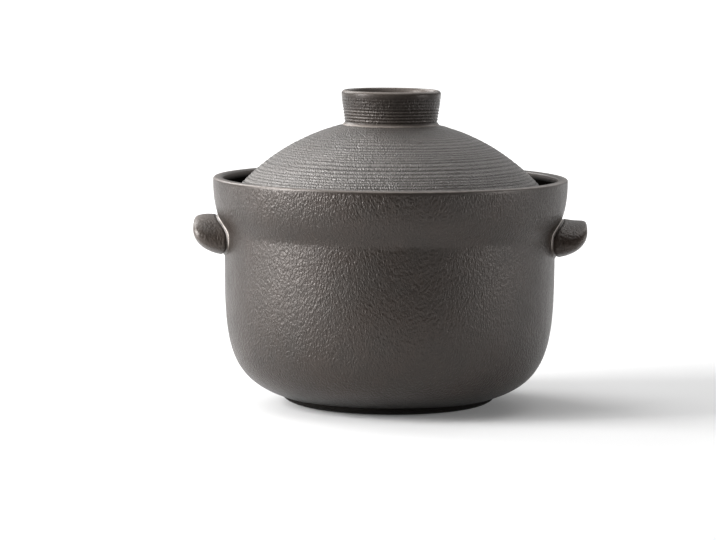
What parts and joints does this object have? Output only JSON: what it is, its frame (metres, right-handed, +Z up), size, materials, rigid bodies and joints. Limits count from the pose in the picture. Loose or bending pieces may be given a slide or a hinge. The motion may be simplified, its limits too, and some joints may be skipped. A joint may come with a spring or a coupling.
{
  "type": "cooking pot",
  "caption": "Dark matt stoneware cooking pot with a flared rim, lug handles, a tapered foot and a ribbed domed lid with a hollow ring grip, for simmering on a stove.",
  "frame": {"origin": "centre of the foot ring's flat land, on the surface that the pot stands on", "axes": "+Z up along the pot's turning axis, X through the two lug handles, -Y towards the viewer of the picture"},
  "size_m": [0.2436, 0.22, 0.1953],
  "materials": {
    "body_glaze": "matt dark brown-grey glaze with a leathery grain, dark and glossier inside",
    "bare_clay": "bare, nearly black clay",
    "lug_glaze": "smooth satin dark brown-grey glaze",
    "lid_glaze": "matt brown-grey glaze over turned ridges",
    "grip_glaze": "matt dark brown-grey glaze over turned grooves"
  },
  "bodies": {
    "pot": {"pot_body": "body_glaze", "foot_ring": "bare_clay", "left_handle": "lug_glaze", "right_handle": "lug_glaze"},
    "lid": {"lid": "lid_glaze", "lid_knob": "grip_glaze"}
  },
  "joints": [
    {"name": "lid_lift", "type": "slide", "parent": "pot", "child": "lid", "axis": [0, 0, 1], "range_m": [0, 0.12]}
  ]
}
